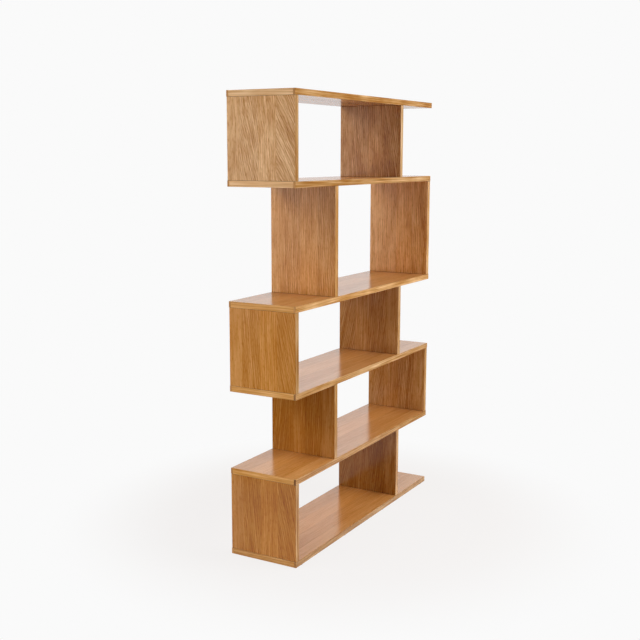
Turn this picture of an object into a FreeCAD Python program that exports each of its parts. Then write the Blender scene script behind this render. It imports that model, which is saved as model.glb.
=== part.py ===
import FreeCAD, Part
import os
from FreeCAD import Vector

# Zigzag bookshelf: six full-width boards on five tiers of two uprights.
# On each tier one upright stands at the boards' end and the other is set in,
# and the two swap sides from tier to tier.
# X runs along the boards, the front is at -Y, Z is up, and the origin is on
# the floor at the middle of the footprint. All sizes are in millimetres.

# Boards and uprights
WIDTH = 1290.0
DEPTH = 318.0
SHELF_THICKNESS = 25.0
UPRIGHT_THICKNESS = 25.0
TIER_CLEAR = 327.0
TALL_TIER_CLEAR = 462.0
INSET = 322.5                # board end to the outer face of a set-in upright
UPRIGHT_SETBACK = 1.0        # uprights stand back from the boards' edges

# Solid lippings round the veneered panels
LIPPING = 10.0
ARRIS_RADIUS = 1.0
CORNER_CHAMFER = 0.7         # upright corners of the boards
JOINT_BEVEL = 1.0            # ends of the uprights, a fine V-joint against the boards

# Loose tongues, glued into grooves, that join the uprights to the boards
TONGUE_THICKNESS = 8.0
TONGUE_IN_SHELF = 11.0
TONGUE_IN_UPRIGHT = 14.0
TONGUE_SHORT = 3.0           # gap between a tongue's end and the lipping
TONGUE_WALL = 2.0            # panel left between a groove and the end lipping
GROOVE_SIDE_CLEARANCE = 0.1
GROOVE_TIP_CLEARANCE = 0.5

# Glides under the bottom board
GLIDE_DIAMETER = 22.0
GLIDE_HEIGHT = 3.0
GLIDE_CHAMFER = 1.0
GLIDE_TO_END = 50.0          # outer glides' axis to the board's end
GLIDE_TO_EDGE = 12.5         # glide axis to the board's front or rear face
GLIDE_PITCH = 382.0          # between the two inner glides of a row
GLIDE_OFFSET = -27.0         # middle of the two inner glides from the board's middle

# Clear heights from the bottom tier up
TIERS = [TIER_CLEAR, TIER_CLEAR, TIER_CLEAR, TALL_TIER_CLEAR, TIER_CLEAR]

UPRIGHT_DEPTH = DEPTH - 2 * UPRIGHT_SETBACK
TONGUE_LENGTH = UPRIGHT_DEPTH - 2 * LIPPING - 2 * TONGUE_SHORT
TONGUE_TO_OUTER_FACE = LIPPING + TONGUE_WALL - UPRIGHT_SETBACK


def about(centre, size):
    """The (low, high) pair of a size centred on a value."""
    return (centre - size / 2, centre + size / 2)


def block(x, y, z):
    """A box from its (low, high) pairs along X, Y and Z."""
    low = Vector(x[0], y[0], z[0])
    return Part.makeBox(x[1] - x[0], y[1] - y[0], z[1] - z[0], low)


def runs_upright(edge):
    """True for a straight edge that runs up and down."""
    return round(abs(edge.tangentAt(edge.FirstParameter).z)) == 1


def eased_shelf(slab):
    """A slab with its level arrises rounded and its upright corners taken off."""
    corners = [edge for edge in slab.Edges if runs_upright(edge)]
    arrises = [edge for edge in slab.Edges if not runs_upright(edge)]
    rounded = slab.makeFillet(ARRIS_RADIUS, arrises)
    return rounded.common(slab.makeChamfer(CORNER_CHAMFER, corners))


def eased_upright(slab):
    """A slab with its upright arrises rounded and its two ends bevelled all round."""
    arrises = [edge for edge in slab.Edges if runs_upright(edge)]
    ends = [edge for edge in slab.Edges if not runs_upright(edge)]
    rounded = slab.makeFillet(ARRIS_RADIUS, arrises)
    return rounded.common(slab.makeChamfer(JOINT_BEVEL, ends))


def front_or_rear_strip(board, side):
    """The lipping cut from the front (side -1) or the rear (side 1) of a board."""
    box = board.BoundBox
    face = box.YMax if side > 0 else box.YMin
    x = (box.XMin - LIPPING, box.XMax + LIPPING)
    y = sorted((face - side * LIPPING, face + side * LIPPING))
    z = (box.ZMin - LIPPING, box.ZMax + LIPPING)
    return board.common(block(x, y, z))


def end_strip(board, side):
    """The lipping cut from a board's left (side -1) or right (side 1) end."""
    box = board.BoundBox
    face = box.XMax if side > 0 else box.XMin
    x = sorted((face - side * LIPPING, face + side * LIPPING))
    y = (box.YMin + LIPPING, box.YMax - LIPPING)
    z = (box.ZMin - LIPPING, box.ZMax + LIPPING)
    return board.common(block(x, y, z))


def uprights_of(tier):
    """A tier's two uprights: hand, side (-1 or 1) and the outer face's distance from the middle."""
    at_end = WIDTH / 2 - UPRIGHT_SETBACK
    set_in = WIDTH / 2 - INSET
    left, right = (at_end, set_in) if tier % 2 else (set_in, at_end)
    return [("left", -1, left), ("right", 1, right)]


def tongue_x(side, outer):
    """The (low, high) pair along X of an upright's tongues."""
    near = outer - TONGUE_TO_OUTER_FACE
    return sorted((side * near, side * (near - TONGUE_THICKNESS)))


def groove(side, outer, z):
    """The groove for an upright's tongue, open at the panels' front and rear edges."""
    x = tongue_x(side, outer)
    x = (x[0] - GROOVE_SIDE_CLEARANCE, x[1] + GROOVE_SIDE_CLEARANCE)
    return block(x, about(0, DEPTH), z)


def make_shelf(number, z, tier_below, tier_above):
    """One board: a panel lipped all round, grooved for the uprights that it meets."""
    board = eased_shelf(block(about(0, WIDTH), about(0, DEPTH), z))
    panel = block(about(0, WIDTH - 2 * LIPPING), about(0, DEPTH - 2 * LIPPING), z)
    depth = TONGUE_IN_SHELF + GROOVE_TIP_CLEARANCE
    for hand, side, outer in uprights_of(tier_below) if tier_below else []:
        panel = panel.cut(groove(side, outer, (z[0] - depth, z[0] + depth)))
    for hand, side, outer in uprights_of(tier_above) if tier_above else []:
        panel = panel.cut(groove(side, outer, (z[1] - depth, z[1] + depth)))
    name = "shelf_%d" % number
    return {
        name + "_panel": [panel],
        name + "_front_lipping": [front_or_rear_strip(board, -1)],
        name + "_rear_lipping": [front_or_rear_strip(board, 1)],
        name + "_end_lippings": [end_strip(board, -1), end_strip(board, 1)],
    }


def make_upright(tier, hand, side, outer, z):
    """One upright: a panel lipped front and rear, grooved along both ends."""
    x = sorted((side * outer, side * (outer - UPRIGHT_THICKNESS)))
    board = eased_upright(block(x, about(0, UPRIGHT_DEPTH), z))
    panel = board.common(block(x, about(0, UPRIGHT_DEPTH - 2 * LIPPING), z))
    depth = TONGUE_IN_UPRIGHT + GROOVE_TIP_CLEARANCE
    for end in z:
        panel = panel.cut(groove(side, outer, (end - depth, end + depth)))
    name = "tier_%d_%s_upright" % (tier, hand)
    return {
        name + "_panel": [panel],
        name + "_lippings": [front_or_rear_strip(board, -1), front_or_rear_strip(board, 1)],
    }


def make_tongues(tier, z):
    """The tongues at the foot and the head of a tier's two uprights."""
    foot = (z[0] - TONGUE_IN_SHELF, z[0] + TONGUE_IN_UPRIGHT)
    head = (z[1] - TONGUE_IN_UPRIGHT, z[1] + TONGUE_IN_SHELF)
    spans = [tongue_x(side, outer) for hand, side, outer in uprights_of(tier)]
    return [block(x, about(0, TONGUE_LENGTH), end) for x in spans for end in (foot, head)]


def make_glide(x, y):
    """A low round glide with a chamfered foot."""
    disc = Part.makeCylinder(GLIDE_DIAMETER / 2, GLIDE_HEIGHT, Vector(x, y, 0))
    foot = [edge for edge in disc.Edges if edge.BoundBox.ZMax < GLIDE_HEIGHT / 2]
    return disc.makeChamfer(GLIDE_CHAMFER, foot)


nodes = {"tongues": []}

# The stack, from the floor up
z_low = GLIDE_HEIGHT
for number in range(1, len(TIERS) + 2):
    z_top = z_low + SHELF_THICKNESS
    tier_above = number if number <= len(TIERS) else 0
    nodes.update(make_shelf(number, (z_low, z_top), number - 1, tier_above))
    if tier_above:
        z_low = z_top + TIERS[tier_above - 1]
        for hand, side, outer in uprights_of(tier_above):
            nodes.update(make_upright(tier_above, hand, side, outer, (z_top, z_low)))
        nodes["tongues"] += make_tongues(tier_above, (z_top, z_low))

# Glides in a front and a rear row under the bottom board
columns = [*about(0, WIDTH - 2 * GLIDE_TO_END), *about(GLIDE_OFFSET, GLIDE_PITCH)]
rows = about(0, DEPTH - 2 * GLIDE_TO_EDGE)
nodes["floor_glides"] = [make_glide(x, y) for x in columns for y in rows]

os.makedirs("parts", exist_ok=True)
for name, solids in nodes.items():
    shape = solids[0] if len(solids) == 1 else Part.makeCompound(solids)
    shape.exportStep("parts/" + name + ".step")
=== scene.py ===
from math import pi, radians

import bpy
from mathutils import Matrix, Vector


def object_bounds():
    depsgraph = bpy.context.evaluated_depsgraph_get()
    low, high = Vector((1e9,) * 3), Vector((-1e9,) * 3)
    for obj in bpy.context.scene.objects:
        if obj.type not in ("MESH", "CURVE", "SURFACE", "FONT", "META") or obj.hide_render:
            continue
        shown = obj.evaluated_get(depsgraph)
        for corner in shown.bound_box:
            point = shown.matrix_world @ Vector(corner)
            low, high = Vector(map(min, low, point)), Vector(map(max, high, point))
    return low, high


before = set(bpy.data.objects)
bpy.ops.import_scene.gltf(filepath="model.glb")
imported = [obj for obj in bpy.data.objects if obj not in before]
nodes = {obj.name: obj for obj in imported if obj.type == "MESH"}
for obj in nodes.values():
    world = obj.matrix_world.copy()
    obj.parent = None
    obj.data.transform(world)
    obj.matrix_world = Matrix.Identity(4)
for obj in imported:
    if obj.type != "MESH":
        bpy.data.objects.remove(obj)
cad_box = [list(corner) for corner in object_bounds()]

# Floor glides
# Eight low round discs that keep the bottom board's lacquer off the floor.
# They are moulded in dark polypropylene and stuck to the board's underside.
MM = 0.001                   # m
MOULD_GRIT = 0.8             # mm; drawn about ten times as coarse as real, so that it shows
GRIT_HEIGHT = 0.1            # mm
GRIT_STRENGTH = 0.3
DUST_PATCH = 9.0             # mm
CLEAN_PLASTIC = "#1f1d1b"
DUSTY_PLASTIC = "#3a3530"
GLIDE_ROUGHNESS = (0.42, 0.62)
POLYPROPYLENE_IOR = 1.49


def linear(hex_colour):
    """Linear RGBA from an sRGB hex colour."""
    channels = []
    for place in (1, 3, 5):
        value = int(hex_colour[place:place + 2], 16) / 255
        channels.append(value / 12.92 if value <= 0.04045 else ((value + 0.055) / 1.055) ** 2.4)
    return (*channels, 1.0)


def add(tree, kind, sockets=None, **settings):
    """Add a node with its settings and with values or links as inputs; return its outputs by name."""
    node = tree.nodes.new(kind)
    for name, value in settings.items():
        setattr(node, name, value)
    # Where inputs share a name, the first of them counts, and the others are reached by number
    inputs = {socket.name: socket for socket in reversed(node.inputs) if socket.enabled}
    for name, value in (sockets or {}).items():
        socket = node.inputs[name] if isinstance(name, int) else inputs[name]
        if isinstance(value, bpy.types.NodeSocket):
            tree.links.new(value, socket)
        else:
            socket.default_value = value
    return {socket.name: socket for socket in node.outputs if socket.enabled}


def new_material(name):
    """An empty node material."""
    material = bpy.data.materials.new(name)
    material.use_nodes = True
    material.node_tree.nodes.clear()
    return material


def dress(name, material):
    """Give one material to every face of a piece."""
    mesh = nodes[name].data
    mesh.materials.clear()
    mesh.materials.append(material)
    for face in mesh.polygons:
        face.material_index = 0


# Spark-eroded mould: a fine even grit breaks up the highlight, and floor dust greys the black
glide_plastic = new_material("moulded_polypropylene_fine_grit")
tree = glide_plastic.node_tree
place = add(tree, "ShaderNodeTexCoord")["Object"]
grit = add(tree, "ShaderNodeTexNoise", {
    "Vector": place, "Scale": 1 / (MOULD_GRIT * MM), "Detail": 2.0})["Fac"]
dust = add(tree, "ShaderNodeTexNoise", {
    "Vector": place, "Scale": 1 / (DUST_PATCH * MM), "Detail": 3.0})["Fac"]
colour = add(tree, "ShaderNodeMix", {
    "Factor": dust, "A": linear(CLEAN_PLASTIC), "B": linear(DUSTY_PLASTIC)}, data_type="RGBA")["Result"]
rough = add(tree, "ShaderNodeMapRange", {
    "Value": grit, "To Min": GLIDE_ROUGHNESS[0], "To Max": GLIDE_ROUGHNESS[1]})["Result"]
normal = add(tree, "ShaderNodeBump", {
    "Height": grit, "Strength": GRIT_STRENGTH, "Distance": GRIT_HEIGHT * MM})["Normal"]
shade = add(tree, "ShaderNodeBsdfPrincipled", {
    "Base Color": colour, "Roughness": rough, "IOR": POLYPROPYLENE_IOR, "Normal": normal})["BSDF"]
add(tree, "ShaderNodeOutputMaterial", {"Surface": shade})
dress("floor_glides", glide_plastic)

# Shelf panels
# Six flat panels of core board, faced above and below with sliced oak veneer.
# The veneer is laid in leaves side by side, its grain along the shelf, pressed on and satin-lacquered.
SHELF_COUNT = 6

# The finish of a piece, which its material reads from it:
# lean_share, the share of the leaves' lean and sway that its figure shows;
# shortness, how many times shorter than usual its dashes are; boldness, the strength of its figure;
# lightness, which its wood's colour is multiplied by; paleness, how far that goes to pale oak;
# turned, 1 where the leaves are counted from the other edge; fall, its change of tone to that edge.
SHELF_FINISH = dict(lean_share=0.25, shortness=1.0, boldness=0.48, lightness=1.16, paleness=0.22)

# Leaves from the first edge: width in mm, lean, sway and strength of the figure, and colour
LEAVES = (
    (60, 0.04, 0.5, 0.35, "#c2813a"),
    (87, 0.22, 0.7, 1.0, "#b57120"),
    (84, 0.05, 0.9, 0.8, "#c17c2b"),
    (87, 0.52, 0.6, 0.9, "#b67221"),
)
SHEET_WIDTH = sum(leaf[0] for leaf in LEAVES)
PALE_OAK = "#e3b882"

# Steps of tone, as shares of full white as the eye sees it
EYE = 2.2                    # gamma by which the eye sees steps of tone as even
STEP_SHARES = (1.0, 1.2, 1.4)    # of a step in red, green and blue
DARKEST = 0.06
RING_DEPTH = 0.32
STREAK_DEPTH = 0.1
CLOUD_DEPTH = 0.06
FLECK_DEPTH = 0.05
FALL_SPAN = (0.4, 0.9)       # shares of the sheet's width between which its tone falls
FALL_MIDDLE = 0.36           # about the mean of that fall, so that the sheet as a whole keeps its tone

# Sizes of the figure in mm, across and along the grain where there are two
RING_PITCH = 10.0            # drawn about four times as wide as real growth rings, so that they show
WANDER_SIZE = (22.0, 200.0)
FADE_SIZE = (14.0, 50.0)
STREAK_SIZE = (10.0, 170.0)
CLOUD_SIZE = (40.0, 300.0)
FLECK_SIZE = (5.0, 22.0)     # drawn about ten times as large as real pores, so that they show
SWAY_SIZE = (70.0, 260.0)
SWAY_REACH = 40.0
WANDER_REACH = 1.6           # rings
HALF_RING = 0.5              # rings
SHEET_STEP = 40.0            # through the wood, over which the figure changes
LEAF_SPREAD = 40.0           # of the leaves in the noise, so that no two are alike

# Levels of the noise at which a pattern begins and is full
WHOLE = (0.0, 1.0)
EVEN = (0.3, 0.7)
FADE_LEVELS = (0.35, 0.59)
FLECK_LEVELS = (0.52, 0.66)
MIDDLE = 0.5                 # of a pattern that runs from 0 to 1

# Lacquer
VENEER_ROUGHNESS = (0.17, 0.22)
LACQUER_IOR = 1.45
PORE_RELIEF = 0.7            # depth of the pores against the height of the rings
GRAIN_HEIGHT = 0.15          # mm
GRAIN_STRENGTH = 0.05
ARRIS = (0.99, 0.8)          # largest part of the normal where the rubbing and its painted highlight begin and are full
RUB_AND_HIGHLIGHT_SHARE = 0.12             # of rubbed oak in an arris's colour, partly a painted highlight
RUB_DULLNESS = 0.12          # roughness that the rubbing adds
# Lighter oak on the arrises: rubbed wear and a painted highlight
RUBBED_OAK_AND_HIGHLIGHT = "#dcae74"


def leaf_ramp(tree, position, values):
    """Four values for each leaf, switched at the leaf joints: the outputs of one stepped ramp."""
    outputs = add(tree, "ShaderNodeValToRGB", {"Fac": position})
    ramp = outputs["Color"].node.color_ramp
    ramp.interpolation = "CONSTANT"
    start = 0.0
    for number, leaf in enumerate(LEAVES):
        stop = ramp.elements.new(start / SHEET_WIDTH) if number else ramp.elements[0]
        stop.color = values[number]
        start += leaf[0]
    ramp.elements.remove(ramp.elements[-1])
    return outputs


def grain(tree, across, along, through, size, levels):
    """Noise drawn out along the grain, spread from 0 to 1 between two levels; size in mm."""
    x = add(tree, "ShaderNodeMath", {0: across, 1: size[0]}, operation="DIVIDE")["Value"]
    y = add(tree, "ShaderNodeMath", {0: along, 1: size[1]}, operation="DIVIDE")["Value"]
    vector = add(tree, "ShaderNodeCombineXYZ", {"X": x, "Y": y, "Z": through})["Vector"]
    noise = add(tree, "ShaderNodeTexNoise", {"Vector": vector, "Scale": 1.0, "Detail": 2.0})["Fac"]
    return add(tree, "ShaderNodeMapRange", {
        "Value": noise, "From Min": levels[0], "From Max": levels[1]})["Result"]


def of_piece(tree, name):
    """A number kept on the piece itself, 0 where it has none."""
    return add(tree, "ShaderNodeAttribute", attribute_type="OBJECT", attribute_name=name)["Fac"]


def shifted(tree, colour, tone):
    """A colour made lighter or darker by steps that look even to the eye; the darker, the warmer."""
    seen = add(tree, "ShaderNodeGamma", {"Color": colour, "Gamma": 1 / EYE})["Color"]
    step = add(tree, "ShaderNodeVectorMath", {0: tone, 1: STEP_SHARES}, operation="MULTIPLY")["Vector"]
    seen = add(tree, "ShaderNodeVectorMath", {0: seen, 1: step}, operation="ADD")["Vector"]
    least = (DARKEST, DARKEST, DARKEST)
    seen = add(tree, "ShaderNodeVectorMath", {0: seen, 1: least}, operation="MAXIMUM")["Vector"]
    return add(tree, "ShaderNodeGamma", {"Color": seen, "Gamma": EYE})["Color"]


def oak_veneer(tree, across, along, through):
    """Leaves of sliced oak: colour, roughness and relief. Across, along and through are in mm."""
    # A turned sheet counts its leaves from the other edge
    swap = add(tree, "ShaderNodeMath", {
        0: across, 1: -2.0, 2: SHEET_WIDTH}, operation="MULTIPLY_ADD")["Value"]
    counted = add(tree, "ShaderNodeMath", {
        0: swap, 1: of_piece(tree, "turned"), 2: across}, operation="MULTIPLY_ADD")["Value"]
    position = add(tree, "ShaderNodeMath", {0: counted, 1: SHEET_WIDTH}, operation="DIVIDE")["Value"]
    figures = [(*leaf[1:4], number / len(LEAVES)) for number, leaf in enumerate(LEAVES)]
    figure = leaf_ramp(tree, position, figures)
    shape = add(tree, "ShaderNodeSeparateColor", {"Color": figure["Color"]})
    colour = leaf_ramp(tree, position, [linear(leaf[4]) for leaf in LEAVES])["Color"]

    # The figure leans and sways along the leaf, and no two leaves or boards are cut alike
    sheet = add(tree, "ShaderNodeMath", {0: through, 1: SHEET_STEP}, operation="DIVIDE")["Value"]
    sheet = add(tree, "ShaderNodeMath", {
        0: figure["Alpha"], 1: LEAF_SPREAD, 2: sheet}, operation="MULTIPLY_ADD")["Value"]
    share = of_piece(tree, "lean_share")
    lean = add(tree, "ShaderNodeMath", {0: shape["Red"], 1: share}, operation="MULTIPLY")["Value"]
    leant = add(tree, "ShaderNodeMath", {
        0: lean, 1: along, 2: counted}, operation="MULTIPLY_ADD")["Value"]
    sway = grain(tree, counted, along, sheet, SWAY_SIZE, WHOLE)
    reach = add(tree, "ShaderNodeMath", {
        0: shape["Green"], 1: SWAY_REACH}, operation="MULTIPLY")["Value"]
    reach = add(tree, "ShaderNodeMath", {0: reach, 1: share}, operation="MULTIPLY")["Value"]
    swept = add(tree, "ShaderNodeMath", {0: sway, 1: reach, 2: leant}, operation="MULTIPLY_ADD")["Value"]

    # Fine rings that wander, and fade in and out as dashes
    run = add(tree, "ShaderNodeMath", {
        0: along, 1: of_piece(tree, "shortness")}, operation="MULTIPLY")["Value"]
    wander = grain(tree, swept, run, sheet, WANDER_SIZE, WHOLE)
    ring = add(tree, "ShaderNodeMath", {0: swept, 1: RING_PITCH}, operation="DIVIDE")["Value"]
    ring = add(tree, "ShaderNodeMath", {
        0: wander, 1: WANDER_REACH, 2: ring}, operation="MULTIPLY_ADD")["Value"]
    ring = add(tree, "ShaderNodeMath", {0: ring, 1: HALF_RING}, operation="PINGPONG")["Value"]
    ring = add(tree, "ShaderNodeMath", {0: ring, 1: HALF_RING / 2}, operation="SUBTRACT")["Value"]
    fade = grain(tree, swept, run, sheet, FADE_SIZE, FADE_LEVELS)
    fade = add(tree, "ShaderNodeMath", {0: fade, 1: shape["Blue"]}, operation="MULTIPLY")["Value"]
    rings = add(tree, "ShaderNodeMath", {0: ring, 1: fade}, operation="MULTIPLY")["Value"]

    # Streaks and clouds to either side of the middle tone, and dark flecks for the pores
    streak = grain(tree, swept, run, sheet, STREAK_SIZE, EVEN)
    streak = add(tree, "ShaderNodeMath", {0: streak, 1: MIDDLE}, operation="SUBTRACT")["Value"]
    cloud = grain(tree, swept, along, sheet, CLOUD_SIZE, EVEN)
    cloud = add(tree, "ShaderNodeMath", {0: cloud, 1: MIDDLE}, operation="SUBTRACT")["Value"]
    flecks = grain(tree, swept, along, sheet, FLECK_SIZE, FLECK_LEVELS)

    # All of these in one tone, as bold as the piece has it
    tone = add(tree, "ShaderNodeMath", {0: rings, 1: RING_DEPTH}, operation="MULTIPLY")["Value"]
    tone = add(tree, "ShaderNodeMath", {
        0: streak, 1: STREAK_DEPTH, 2: tone}, operation="MULTIPLY_ADD")["Value"]
    tone = add(tree, "ShaderNodeMath", {
        0: cloud, 1: CLOUD_DEPTH, 2: tone}, operation="MULTIPLY_ADD")["Value"]
    tone = add(tree, "ShaderNodeMath", {
        0: flecks, 1: -FLECK_DEPTH, 2: tone}, operation="MULTIPLY_ADD")["Value"]
    tone = add(tree, "ShaderNodeMath", {
        0: tone, 1: of_piece(tree, "boldness")}, operation="MULTIPLY")["Value"]
    fall = add(tree, "ShaderNodeMapRange", {
        "Value": across, "From Min": FALL_SPAN[0] * SHEET_WIDTH, "From Max": FALL_SPAN[1] * SHEET_WIDTH,
        "To Min": -FALL_MIDDLE, "To Max": 1.0 - FALL_MIDDLE})["Result"]
    tone = add(tree, "ShaderNodeMath", {
        0: fall, 1: of_piece(tree, "fall"), 2: tone}, operation="MULTIPLY_ADD")["Value"]

    paler = add(tree, "ShaderNodeMix", {
        "Factor": of_piece(tree, "paleness"), "A": colour, "B": linear(PALE_OAK)},
        data_type="RGBA")["Result"]
    wood = shifted(tree, paler, tone)
    colour = add(tree, "ShaderNodeVectorMath", {
        0: wood, "Scale": of_piece(tree, "lightness")}, operation="SCALE")["Vector"]
    rough = add(tree, "ShaderNodeMapRange", {
        "Value": fade, "To Min": VENEER_ROUGHNESS[0], "To Max": VENEER_ROUGHNESS[1]})["Result"]
    relief = add(tree, "ShaderNodeMath", {
        0: flecks, 1: -PORE_RELIEF, 2: ring}, operation="MULTIPLY_ADD")["Value"]
    return colour, rough, relief


def lacquered(tree, colour, rough, relief):
    """A satin-lacquered wood surface, rubbed duller on its arrises and lighter there, as wear and as a
    painted highlight.
    """
    flat = add(tree, "ShaderNodeTexCoord")["Normal"]
    flat = add(tree, "ShaderNodeVectorMath", {0: flat}, operation="ABSOLUTE")["Vector"]
    flat = add(tree, "ShaderNodeSeparateXYZ", {"Vector": flat})
    most = add(tree, "ShaderNodeMath", {0: flat["X"], 1: flat["Y"]}, operation="MAXIMUM")["Value"]
    most = add(tree, "ShaderNodeMath", {0: most, 1: flat["Z"]}, operation="MAXIMUM")["Value"]
    worn_and_highlit = add(tree, "ShaderNodeMapRange", {
        "Value": most, "From Min": ARRIS[0], "From Max": ARRIS[1]})["Result"]
    # The arrises are lightened: rubbed wear and a painted highlight
    rub_and_highlight = add(tree, "ShaderNodeMath", {0: worn_and_highlit, 1: RUB_AND_HIGHLIGHT_SHARE}, operation="MULTIPLY")["Value"]
    colour = add(tree, "ShaderNodeMix", {
        "Factor": rub_and_highlight, "A": colour, "B": linear(RUBBED_OAK_AND_HIGHLIGHT)}, data_type="RGBA")["Result"]
    rough = add(tree, "ShaderNodeMath", {
        0: worn_and_highlit, 1: RUB_DULLNESS, 2: rough}, operation="MULTIPLY_ADD")["Value"]
    normal = add(tree, "ShaderNodeBump", {
        "Height": relief, "Strength": GRAIN_STRENGTH, "Distance": GRAIN_HEIGHT * MM})["Normal"]
    shade = add(tree, "ShaderNodeBsdfPrincipled", {
        "Base Color": colour, "Roughness": rough, "IOR": LACQUER_IOR, "Normal": normal})["BSDF"]
    add(tree, "ShaderNodeOutputMaterial", {"Surface": shade})


def place_in_mm(tree):
    """The X, Y and Z of a point in mm."""
    place = add(tree, "ShaderNodeTexCoord")["Object"]
    place = add(tree, "ShaderNodeVectorMath", {0: place, "Scale": 1 / MM}, operation="SCALE")["Vector"]
    return add(tree, "ShaderNodeSeparateXYZ", {"Vector": place})


def across_shelf(tree, place):
    """Distance from the shelf's front edge in mm."""
    front = cad_box[0][1] / MM
    return add(tree, "ShaderNodeMath", {0: place["Y"], 1: front}, operation="SUBTRACT")["Value"]


def mark(name, values):
    """Keep a piece's own numbers on it, for its material to read."""
    for key, value in values.items():
        nodes[name][key] = value


# Sliced oak under satin lacquer: streaked leaves of slightly different brown with a soft mirror on top
shelf_veneer = new_material("oak_veneer_satin_lacquer_along_shelf")
tree = shelf_veneer.node_tree
place = place_in_mm(tree)
lacquered(tree, *oak_veneer(tree, across_shelf(tree, place), place["X"], place["Z"]))
for number in range(1, SHELF_COUNT + 1):
    name = "shelf_%d_panel" % number
    dress(name, shelf_veneer)
    mark(name, SHELF_FINISH)

# Shelf front and rear lippings
# Solid oak strips glued to the panel's long edges, planed flush and eased at the arrises.
# They run the full length, so their end grain shows at the shelf's corners; the veneer runs over them.
STRIP_OAK = "#c78d47"
PALE_STRIP = "#e3bd8f"
STRIP_RING_SIZE = (5.0, 200.0)   # mm across and along; about twice as wide as real, so that the rings show
STRIP_PATCH_SIZE = (150.0, 150.0)
STRIP_RING_DEPTH = 0.26
STRIP_PATCH_DEPTH = 0.12
STRIP_ROUGHNESS = (0.26, 0.2)
END_RING_SIZE = (1.6, 4.0)   # mm across and along the rings
DARK_CUT = ("#562a04", "#74420e")    # open pores and the wood between them
LIGHT_CUT = ("#b87c3e", "#d09858")
CUT_ROUGHNESS = 0.8          # end grain drinks the lacquer and stays dull
FACE_ON = 0.9                # part of the normal along an axis from which a face looks along it

# From the bottom shelf up: lightness and paleness of the strips, and their end grain from dark 0 to light 1
LONG_TONES = ((0.72, 0.06), (0.89, 0.04), (1.0, 0.31), (1.14, 0.21), (0.96, 0.18), (0.99, 0.08))
LONG_CUTS = {
    "front": (0.45, 0.12, 0.4, 1.0, 0.9, 0.65),
    "rear": (1.0, 0.7, 0.9, 0.75, 0.85, 0.8),
}


def solid_oak(tree, along, side, other):
    """Straight-grained solid oak: colour, roughness and relief. All in mm."""
    deep = add(tree, "ShaderNodeMath", {0: other, 1: STRIP_RING_SIZE[0]}, operation="DIVIDE")["Value"]
    rings = grain(tree, side, along, deep, STRIP_RING_SIZE, EVEN)
    patch = grain(tree, side, along, deep, STRIP_PATCH_SIZE, EVEN)
    tone = add(tree, "ShaderNodeMath", {0: rings, 1: MIDDLE}, operation="SUBTRACT")["Value"]
    tone = add(tree, "ShaderNodeMath", {0: tone, 1: STRIP_RING_DEPTH}, operation="MULTIPLY")["Value"]
    blotch = add(tree, "ShaderNodeMath", {0: patch, 1: MIDDLE}, operation="SUBTRACT")["Value"]
    tone = add(tree, "ShaderNodeMath", {
        0: blotch, 1: STRIP_PATCH_DEPTH, 2: tone}, operation="MULTIPLY_ADD")["Value"]
    tone = add(tree, "ShaderNodeMath", {
        0: tone, 1: of_piece(tree, "strip_boldness")}, operation="MULTIPLY")["Value"]
    paler = add(tree, "ShaderNodeMix", {
        "Factor": of_piece(tree, "strip_paleness"), "A": linear(STRIP_OAK), "B": linear(PALE_STRIP)},
        data_type="RGBA")["Result"]
    wood = shifted(tree, paler, tone)
    colour = add(tree, "ShaderNodeVectorMath", {
        0: wood, "Scale": of_piece(tree, "strip_lightness")}, operation="SCALE")["Vector"]
    rough = add(tree, "ShaderNodeMapRange", {
        "Value": rings, "To Min": STRIP_ROUGHNESS[0], "To Max": STRIP_ROUGHNESS[1]})["Result"]
    return colour, rough, rings


def end_grain(tree, side, other):
    """The colour of oak cut across: open pores in close rings that have drunk the lacquer."""
    rings = grain(tree, side, other, 0.0, END_RING_SIZE, EVEN)
    cut = of_piece(tree, "cut_tone")
    pores = add(tree, "ShaderNodeMix", {
        "Factor": cut, "A": linear(DARK_CUT[0]), "B": linear(LIGHT_CUT[0])}, data_type="RGBA")["Result"]
    wood = add(tree, "ShaderNodeMix", {
        "Factor": cut, "A": linear(DARK_CUT[1]), "B": linear(LIGHT_CUT[1])}, data_type="RGBA")["Result"]
    return add(tree, "ShaderNodeMix", {"Factor": rings, "A": pores, "B": wood}, data_type="RGBA")["Result"]


def facing(tree, axis):
    """1 on faces that look along an axis, 0 elsewhere."""
    normal = add(tree, "ShaderNodeTexCoord")["Normal"]
    part = add(tree, "ShaderNodeSeparateXYZ", {"Vector": normal})[axis]
    size = add(tree, "ShaderNodeMath", {0: part}, operation="ABSOLUTE")["Value"]
    return add(tree, "ShaderNodeMath", {0: size, 1: FACE_ON}, operation="GREATER_THAN")["Value"]


def either(tree, choice, first, second):
    """Two wood surfaces in one: the first where choice is 1, the second where it is 0."""
    colour = add(tree, "ShaderNodeMix", {
        "Factor": choice, "A": second[0], "B": first[0]}, data_type="RGBA")["Result"]
    rough = add(tree, "ShaderNodeMix", {"Factor": choice, "A": second[1], "B": first[1]})["Result"]
    relief = add(tree, "ShaderNodeMix", {"Factor": choice, "A": second[2], "B": first[2]})["Result"]
    return colour, rough, relief


# Planed oak under satin lacquer: fine straight lines along the edge, lighter than the veneer
long_lipping = new_material("solid_oak_satin_lacquer_along_shelf")
tree = long_lipping.node_tree
place = place_in_mm(tree)
edge = solid_oak(tree, place["X"], place["Z"], place["Y"])
cut = (end_grain(tree, place["Y"], place["Z"]), CUT_ROUGHNESS, edge[2])
face = oak_veneer(tree, across_shelf(tree, place), place["X"], place["Z"])
side = either(tree, facing(tree, "X"), cut, edge)
lacquered(tree, *either(tree, facing(tree, "Z"), face, side))
for hand, cuts in LONG_CUTS.items():
    for number, (lightness, paleness) in enumerate(LONG_TONES, 1):
        name = "shelf_%d_%s_lipping" % (number, hand)
        dress(name, long_lipping)
        mark(name, SHELF_FINISH)
        mark(name, dict(strip_boldness=1.0, strip_lightness=lightness, strip_paleness=paleness))
        mark(name, dict(cut_tone=cuts[number - 1]))
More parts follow.
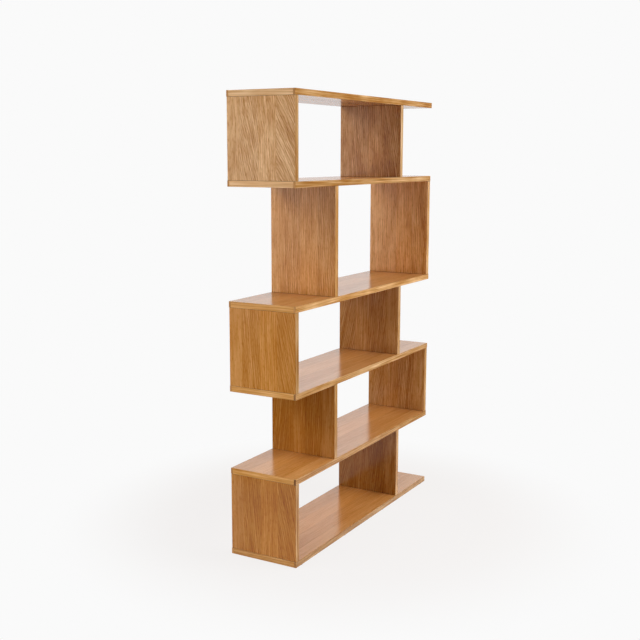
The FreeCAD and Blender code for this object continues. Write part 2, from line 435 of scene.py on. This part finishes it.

# Shelf end lippings
# Short solid oak strips glued to the panel's ends, between the front and the rear lipping.
# Their grain runs across the shelf, so on the end face it lies level; the veneer runs over them too.

# From the bottom shelf up: strength of the figure, lightness and paleness; the top two shelves' paleness is
# in part a painted sheen
END_TONES_AND_SHEEN = (
    (0.6, 0.9, 0.0),
    (0.7, 1.1, 0.0),
    (0.6, 1.2, 0.11),
    (0.5, 1.14, 0.02),
    (0.65, 1.11, 0.4),
    (0.7, 1.04, 0.5),
)

# Planed oak under satin lacquer: calm level lines from front to rear, paler on the upper shelves, in part
# as a painted sheen
end_lipping = new_material("solid_oak_satin_lacquer_across_shelf")
tree = end_lipping.node_tree
place = place_in_mm(tree)
edge = solid_oak(tree, place["Y"], place["Z"], place["X"])
face = oak_veneer(tree, across_shelf(tree, place), place["X"], place["Z"])
lacquered(tree, *either(tree, facing(tree, "Z"), face, edge))
for number, (boldness, lightness, paleness) in enumerate(END_TONES_AND_SHEEN, 1):
    name = "shelf_%d_end_lippings" % number
    dress(name, end_lipping)
    mark(name, SHELF_FINISH)
    mark(name, dict(strip_boldness=boldness, strip_lightness=lightness, strip_paleness=paleness))

# Upright panels
# Ten veneered core boards, two to a tier, butted between the shelves on hidden glued tongues.
# The same oak veneer stands upright here, and its leaves' leaning streaks differ from tier to tier.

# Finishes from the bottom tier up. Some hold painted light: the bottom right upright is darkened as painted
# shade, the tall fourth tier's right one is lightened as painted light, and the top left one is made paler
# in part as a painted sheen
UPRIGHT_FINISHES_AND_LIGHT = {
    "left": (
        dict(lean_share=0.4, shortness=1.0, boldness=0.93, lightness=0.9, paleness=0.0),
        dict(lean_share=0.2, shortness=0.9, boldness=0.83, lightness=0.79, paleness=0.02, turned=1),
        dict(lean_share=0.4, shortness=1.0, boldness=0.75, lightness=1.09, paleness=0.13),
        dict(lean_share=0.1, shortness=1.5, boldness=1.1, lightness=1.07, paleness=0.19),
        dict(lean_share=1.0, shortness=2.0, boldness=1.4, lightness=0.96, paleness=0.5),
    ),
    "right": (
        dict(lean_share=0.4, shortness=1.0, boldness=1.07, lightness=0.62, paleness=0.0, turned=1),
        dict(lean_share=0.3, shortness=1.2, boldness=1.1, lightness=0.91, paleness=0.2, turned=1),
        dict(lean_share=0.4, shortness=1.0, boldness=1.14, lightness=0.85, paleness=0.18, turned=1),
        dict(lean_share=0.1, shortness=1.5, boldness=1.13, lightness=1.24, paleness=0.24, fall=-0.06),
        dict(lean_share=0.3, shortness=1.7, boldness=1.55, lightness=0.93, paleness=0.19, fall=-0.05),
    ),
}
JOINT_SHADE_SLOPE = (0.3, 0.6)     # upward part of the normal where the joint's painted shade line begins and is full
# The V-joints' colour: painted shade, with the lacquer and dust they hold
JOINT_SHADE_AND_DUST = "#2e1806"
JOINT_ROUGHNESS = 0.95       # the joint holds dust and has no polish


def across_upright(tree, place):
    """Distance from the upright's rear edge in mm."""
    rear = cad_box[1][1] / MM
    return add(tree, "ShaderNodeMath", {0: rear, 1: place["Y"]}, operation="SUBTRACT")["Value"]


def joint_shade_line(tree, surface):
    """A surface with a dark line in the fine V-joints at the upright's ends: painted shade, and the lacquer
    and dust they hold.
    """
    normal = add(tree, "ShaderNodeTexCoord")["Normal"]
    up = add(tree, "ShaderNodeSeparateXYZ", {"Vector": normal})["Z"]
    up = add(tree, "ShaderNodeMath", {0: up}, operation="ABSOLUTE")["Value"]
    line = add(tree, "ShaderNodeMapRange", {
        "Value": up, "From Min": JOINT_SHADE_SLOPE[0], "From Max": JOINT_SHADE_SLOPE[1]})["Result"]
    colour = add(tree, "ShaderNodeMix", {
        "Factor": line, "A": surface[0], "B": linear(JOINT_SHADE_AND_DUST)}, data_type="RGBA")["Result"]
    rough = add(tree, "ShaderNodeMix", {"Factor": line, "A": surface[1], "B": JOINT_ROUGHNESS})["Result"]
    return colour, rough, surface[2]


# Sliced oak under satin lacquer, stood on end: streaks run up it, straight or slanting by the leaf
upright_veneer = new_material("oak_veneer_satin_lacquer_up_upright")
tree = upright_veneer.node_tree
place = place_in_mm(tree)
face = oak_veneer(tree, across_upright(tree, place), place["Z"], place["X"])
# The dark line at the V-joints is painted shade, with lacquer and dust
lacquered(tree, *joint_shade_line(tree, face))
for hand, finishes in UPRIGHT_FINISHES_AND_LIGHT.items():
    for tier, finish_and_light in enumerate(finishes, 1):
        name = "tier_%d_%s_upright_panel" % (tier, hand)
        dress(name, upright_veneer)
        mark(name, finish_and_light)

# Upright lippings
# Solid oak strips glued to the front and rear edges of each upright, planed flush with the panel.
# The veneer runs over them on both faces, so only the narrow edges show the solid wood.

# Lightness and paleness of the edges from the bottom tier up; the right uprights' edges are set paler in
# part as a painted highlight, most in the top tier
EDGE_TONES_AND_HIGHLIGHT = {
    "left": ((0.81, 0.0), (0.9, 0.18), (0.9, 0.36), (1.14, 0.22), (0.92, 0.22)),
    "right": ((0.95, 0.2), (0.95, 0.2), (0.98, 0.33), (1.1, 0.2), (0.96, 0.45)),
}

# Planed oak under satin lacquer: a narrow band of fine upright lines, paler than most of the veneer
upright_lipping = new_material("solid_oak_satin_lacquer_up_upright")
tree = upright_lipping.node_tree
place = place_in_mm(tree)
edge = solid_oak(tree, place["Z"], place["X"], place["Y"])
face = oak_veneer(tree, across_upright(tree, place), place["Z"], place["X"])
# The dark line at the V-joints is painted shade, with lacquer and dust
lacquered(tree, *joint_shade_line(tree, either(tree, facing(tree, "X"), face, edge)))
for hand, tones in EDGE_TONES_AND_HIGHLIGHT.items():
    for tier, (lightness, paleness) in enumerate(tones, 1):
        name = "tier_%d_%s_upright_lippings" % (tier, hand)
        dress(name, upright_lipping)
        mark(name, UPRIGHT_FINISHES_AND_LIGHT[hand][tier - 1])
        mark(name, dict(strip_boldness=1.0, strip_lightness=lightness, strip_paleness=paleness))

# Tongues
# Loose strips of birch plywood, glued into grooves in the uprights' ends and the shelves.
# They are closed in on all sides, so none of them shows.
PLY = 1.6                    # mm
PLY_HEIGHT = 0.1             # mm
PLY_STRENGTH = 0.2
PALE_PLY = "#c9a878"
BROWN_PLY = "#b08a58"
PLYWOOD_ROUGHNESS = 0.7
WOOD_IOR = 1.5

# Sanded birch plywood: thin plies of two light browns, dry and almost without gloss
plywood = new_material("birch_plywood_sanded")
tree = plywood.node_tree
place = place_in_mm(tree)
plies = add(tree, "ShaderNodeMath", {0: place["X"], 1: PLY}, operation="PINGPONG")["Value"]
colour = add(tree, "ShaderNodeMix", {
    "Factor": plies, "A": linear(PALE_PLY), "B": linear(BROWN_PLY)}, data_type="RGBA")["Result"]
normal = add(tree, "ShaderNodeBump", {
    "Height": plies, "Strength": PLY_STRENGTH, "Distance": PLY_HEIGHT * MM})["Normal"]
shade = add(tree, "ShaderNodeBsdfPrincipled", {
    "Base Color": colour, "Roughness": PLYWOOD_ROUGHNESS, "IOR": WOOD_IOR, "Normal": normal})["BSDF"]
add(tree, "ShaderNodeOutputMaterial", {"Surface": shade})
dress("tongues", plywood)

# Floor
# A sheet of matt white paper from a roll, laid under the object and on towards the backdrop.
# Near the object it keeps some of the shadow; farther off it fades to the backdrop's white.
PAPER_WAY = Vector((0.866, 0.5, 0.0))    # level direction in which the sheet runs
PAPER_WIDTH = 2.72           # m
PAPER_NEAR = -1.5            # m along the paper's way from the object's middle
PAPER_FAR = 3.0
PAPER_MATT = "#f3f3f3"
PAPER_WHITE = "#fafafa"
NEAR_WHITE = "#f6f4f3"
NEAR_SHARE = 0.92            # of plain white near the object, the rest keeps its shadow
SHADOW_NEAR = 0.65           # m from the object's middle, where the fading begins
SHADOW_FAR = 1.35            # and where it ends, within the sheet
sideways = PAPER_WAY.cross((0.0, 0.0, 1.0)) * PAPER_WIDTH / 2
near_edge = PAPER_WAY * PAPER_NEAR
far_edge = PAPER_WAY * PAPER_FAR
corners = [near_edge - sideways, near_edge + sideways, far_edge + sideways, far_edge - sideways]
floor_mesh = bpy.data.meshes.new("studio_floor")
floor_mesh.from_pydata(corners, [], [(0, 1, 2, 3)])
floor = bpy.data.objects.new("studio_floor", floor_mesh)
bpy.context.scene.collection.objects.link(floor)

# Uncoated paper: no gloss, an even white with a trace of the object's shadow
paper = new_material("white_paper_matt")
tree = paper.node_tree
matt = add(tree, "ShaderNodeBsdfDiffuse", {"Color": linear(PAPER_MATT)})["BSDF"]
place = add(tree, "ShaderNodeTexCoord")["Object"]
away = add(tree, "ShaderNodeVectorMath", {0: place}, operation="LENGTH")["Value"]
fade = add(tree, "ShaderNodeMapRange", {
    "Value": away, "From Min": SHADOW_NEAR, "From Max": SHADOW_FAR},
    interpolation_type="SMOOTHSTEP")["Result"]
tint = add(tree, "ShaderNodeMix", {
    "Factor": fade, "A": linear(NEAR_WHITE), "B": linear(PAPER_WHITE)}, data_type="RGBA")["Result"]
white = add(tree, "ShaderNodeEmission", {"Color": tint})["Emission"]
share = add(tree, "ShaderNodeMapRange", {
    "Value": fade, "To Min": NEAR_SHARE, "To Max": 1.0})["Result"]

# The plain white is only for rays that show the paper, straight, in a mirror or through glass
ray = add(tree, "ShaderNodeLightPath")
seen = add(tree, "ShaderNodeMath", {
    0: ray["Is Camera Ray"], 1: ray["Is Glossy Ray"]}, operation="MAXIMUM")["Value"]
seen = add(tree, "ShaderNodeMath", {
    0: seen, 1: ray["Is Transmission Ray"]}, operation="MAXIMUM")["Value"]
share = add(tree, "ShaderNodeMath", {0: seen, 1: share}, operation="MULTIPLY")["Value"]
shade = add(tree, "ShaderNodeMixShader", {0: share, 1: matt, 2: white})["Shader"]
add(tree, "ShaderNodeOutputMaterial", {"Surface": shade})
floor_mesh.materials.append(paper)

# Backdrop
# The white paper rises behind the object and is lit brightest near its top edge.
# Above it and on the camera's side the room is dark.
SIDES = (0.5, 0.85)          # cosine of the angle to the paper's way over which the paper comes in
RISE = (0.17, 0.25)          # sine of the height angle over which the paper brightens
TOP = (0.36, 0.48)           # sine of the height angle over which it ends
BRIGHT_EDGE = 1.5            # level near the top of the paper, against 1 lower down
world = bpy.data.worlds.new("studio")
bpy.context.scene.world = world
world.use_nodes = True
tree = world.node_tree
tree.nodes.clear()
way = add(tree, "ShaderNodeTexCoord")["Generated"]
toward = add(tree, "ShaderNodeVectorMath", {0: way, 1: PAPER_WAY}, operation="DOT_PRODUCT")["Value"]
behind = add(tree, "ShaderNodeMapRange", {
    "Value": toward, "From Min": SIDES[0], "From Max": SIDES[1]}, interpolation_type="SMOOTHSTEP")["Result"]
height = add(tree, "ShaderNodeSeparateXYZ", {"Vector": way})["Z"]
rise = add(tree, "ShaderNodeMapRange", {
    "Value": height, "From Min": RISE[0], "From Max": RISE[1],
    "To Min": 1.0, "To Max": BRIGHT_EDGE})["Result"]
top = add(tree, "ShaderNodeMapRange", {
    "Value": height, "From Min": TOP[0], "From Max": TOP[1], "To Min": 1.0, "To Max": 0.0})["Result"]
level = add(tree, "ShaderNodeMath", {0: behind, 1: rise}, operation="MULTIPLY")["Value"]
level = add(tree, "ShaderNodeMath", {0: level, 1: top}, operation="MULTIPLY")["Value"]

# Seen straight or through glass it is plain white all round; a mirror shows the lit paper where it stands
ray = add(tree, "ShaderNodeLightPath")
seen = add(tree, "ShaderNodeMath", {
    0: ray["Is Camera Ray"], 1: ray["Is Transmission Ray"]}, operation="MAXIMUM")["Value"]
level = add(tree, "ShaderNodeMix", {"Factor": seen, "A": level, "B": 1.0})["Result"]
sky = add(tree, "ShaderNodeBackground", {"Color": linear(PAPER_WHITE), "Strength": level})["Background"]
add(tree, "ShaderNodeOutputWorld", {"Surface": sky})


# Lights
# Two soft boxes at the front light the front edges and the shelves' tops, and one high at the left rear
# adds to the tops. The others fill the left ends; the far window is what the lacquer mirrors as a veil.
def softbox(name, place, aim_height, width, height, radiance):
    """A rectangular area light, in metres, that faces a point on the object's upright axis."""
    lamp = bpy.data.lights.new(name, "AREA")
    lamp.shape = "RECTANGLE"
    lamp.size = width
    lamp.size_y = height
    lamp.energy = radiance * width * height * pi
    way = Vector((0.0, 0.0, aim_height)) - Vector(place)
    piece = bpy.data.objects.new(name, lamp)
    piece.location = place
    piece.rotation_euler = way.to_track_quat("-Z", "Y").to_euler()
    piece.visible_camera = False
    bpy.context.scene.collection.objects.link(piece)


softbox("front_right_bank", (2.2, -3.8, 4.2), 1.0, 6.0, 2.8, radiance=3.3)
softbox("front_softbox", (0.6, -3.8, 1.8), 1.0, 2.4, 2.0, radiance=5.4)
softbox("left_rear_high_softbox", (-3.4, 2.2, 3.6), 1.3, 3.4, 2.4, radiance=3.2)
softbox("left_softbox", (-4.0, -0.3, 1.6), 1.1, 2.0, 2.4, radiance=2.75)
softbox("left_rear_window", (-7.7, 5.2, 1.25), 1.25, 2.4, 2.5, radiance=2.05)
softbox("left_rear_low_softbox", (-2.6, 3.6, 0.5), 1.2, 2.4, 1.2, radiance=4.4)

# Camera
# It stands just above the height of the fifth shelf and looks at the left end and the front.
# Its place, lens and angles were fitted to the object's edges in the photo.
SENSOR = 36.0                # mm
LENS = 56.387                # mm
CAMERA_PLACE = (-3.9675, -2.1657, 1.6739)    # m
CAMERA_TURN = -60.279        # degrees about the upright, 0 looks to the rear
CAMERA_DIP = 9.377           # degrees below level
CAMERA_ROLL = 0.12           # degrees
camera_data = bpy.data.cameras.new("camera")
camera_data.sensor_width = SENSOR
camera_data.lens = LENS
camera = bpy.data.objects.new("camera", camera_data)
turn = Matrix.Rotation(radians(CAMERA_TURN), 4, "Z")
tilt = Matrix.Rotation(radians(90 - CAMERA_DIP), 4, "X")
roll = Matrix.Rotation(radians(CAMERA_ROLL), 4, "Z")
camera.matrix_world = Matrix.Translation(CAMERA_PLACE) @ turn @ tilt @ roll
bpy.context.scene.collection.objects.link(camera)
bpy.context.scene.camera = camera
bpy.context.scene.view_settings.view_transform = "Standard"
